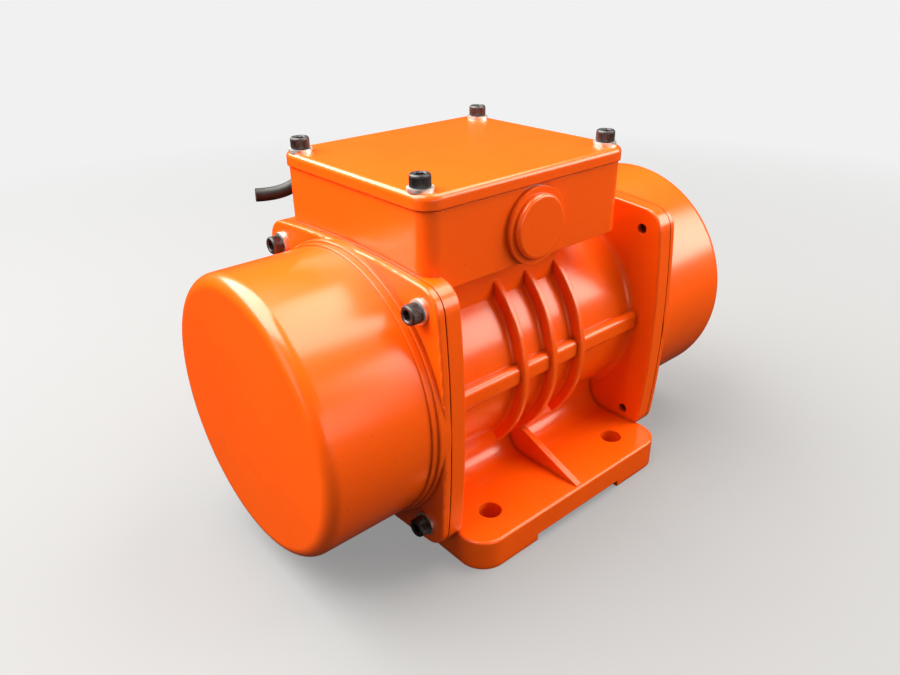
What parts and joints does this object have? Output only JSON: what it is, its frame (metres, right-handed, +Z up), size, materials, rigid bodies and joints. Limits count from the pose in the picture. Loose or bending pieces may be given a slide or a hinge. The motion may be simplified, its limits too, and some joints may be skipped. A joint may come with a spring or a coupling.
{
  "type": "electric vibration motor",
  "caption": "Foot-mounted electric vibration motor with ribbed cast barrel, terminal box, cable gland and round end covers over adjustable unbalanced weights.",
  "frame": {"origin": "centre of the four foot bolts, on the plane that the feet stand on", "axes": "X along the shaft, -Y the side with the blanking boss, +Y the side with the cable gland, +Z up"},
  "size_m": [0.306, 0.2512, 0.2056],
  "materials": {
    "orange_paint": "gloss orange paint on castings and covers",
    "gasket_rubber": "black sheet rubber",
    "black_oxide": "black-oxide alloy steel",
    "zinc_steel": "bright zinc-plated steel",
    "bearing_steel": "ground and polished bearing steel",
    "machined_steel": "turned steel",
    "weight_steel": "flame-cut and machined steel plate",
    "lamination_steel": "stacked electrical steel",
    "cast_shield": "machined cast iron",
    "winding_copper": "varnished copper wire",
    "cage_aluminium": "die-cast aluminium",
    "terminal_moulding": "dark thermoset moulding",
    "brass": "bright brass",
    "gland_nickel": "nickel-plated brass",
    "cable_sheath": "black rubber cable sheath",
    "core_insulation": "coloured core insulation"
  },
  "bodies": {
    "casing": {"bearing_balls_left": "bearing_steel", "bearing_balls_right": "bearing_steel", "bearing_cap_left": "cast_shield", "bearing_cap_right": "cast_shield", "bearing_outer_ring_left": "bearing_steel", "bearing_outer_ring_right": "bearing_steel", "bearing_shield_left": "cast_shield", "bearing_shield_right": "cast_shield", "block_screws": "zinc_steel", "cable_entry": "cable_sheath", "cable_gland_body": "gland_nickel", "cable_gland_locknut": "gland_nickel", "cable_gland_nut": "gland_nickel", "cable_gland_seal": "gasket_rubber", "cap_screws_left": "black_oxide", "cap_screws_right": "black_oxide", "cover_bolts_left": "black_oxide", "cover_bolts_right": "black_oxide", "cover_gasket_left": "gasket_rubber", "cover_gasket_right": "gasket_rubber", "cover_washers_left": "zinc_steel", "cover_washers_right": "zinc_steel", "earth_screw": "zinc_steel", "end_cover_left": "orange_paint", "end_cover_right": "orange_paint", "lid_gasket": "gasket_rubber", "lid_screws": "black_oxide", "lid_washers": "zinc_steel", "motor_housing": "orange_paint", "motor_leads": "core_insulation", "power_cable": "cable_sheath", "shield_screws_left": "black_oxide", "shield_screws_right": "black_oxide", "star_link": "brass", "stator_core": "lamination_steel", "stator_windings": "winding_copper", "supply_cores": "core_insulation", "terminal_block": "terminal_moulding", "terminal_box_lid": "orange_paint", "terminal_nuts": "brass", "terminal_studs": "brass"},
    "rotor": {"shaft": "machined_steel", "rotor_core": "lamination_steel", "rotor_cage_rings": "cage_aluminium", "bearing_inner_ring_left": "bearing_steel", "spacer_sleeve_left": "machined_steel", "fixed_weight_left": "weight_steel", "shaft_key_left": "machined_steel", "lock_washer_left": "zinc_steel", "shaft_nut_left": "zinc_steel", "bearing_inner_ring_right": "bearing_steel", "spacer_sleeve_right": "machined_steel", "fixed_weight_right": "weight_steel", "shaft_key_right": "machined_steel", "lock_washer_right": "zinc_steel", "shaft_nut_right": "zinc_steel"},
    "adjustable_weight_left": {"adjustable_weight_left": "weight_steel", "clamp_screw_left": "black_oxide"},
    "adjustable_weight_right": {"adjustable_weight_right": "weight_steel", "clamp_screw_right": "black_oxide"}
  },
  "joints": [
    {"name": "rotor_spin", "type": "hinge", "parent": "casing", "child": "rotor", "pos_m": [0, 0, 0.086], "axis": [1, 0, 0], "continuous": true},
    {"name": "weight_angle_left", "type": "hinge", "parent": "rotor", "child": "adjustable_weight_left", "pos_m": [-0.1225, 0, 0.086], "axis": [1, 0, 0], "range_deg": [0, 180]},
    {"name": "weight_angle_right", "type": "hinge", "parent": "rotor", "child": "adjustable_weight_right", "pos_m": [0.1225, 0, 0.086], "axis": [1, 0, 0], "range_deg": [0, 180]}
  ]
}
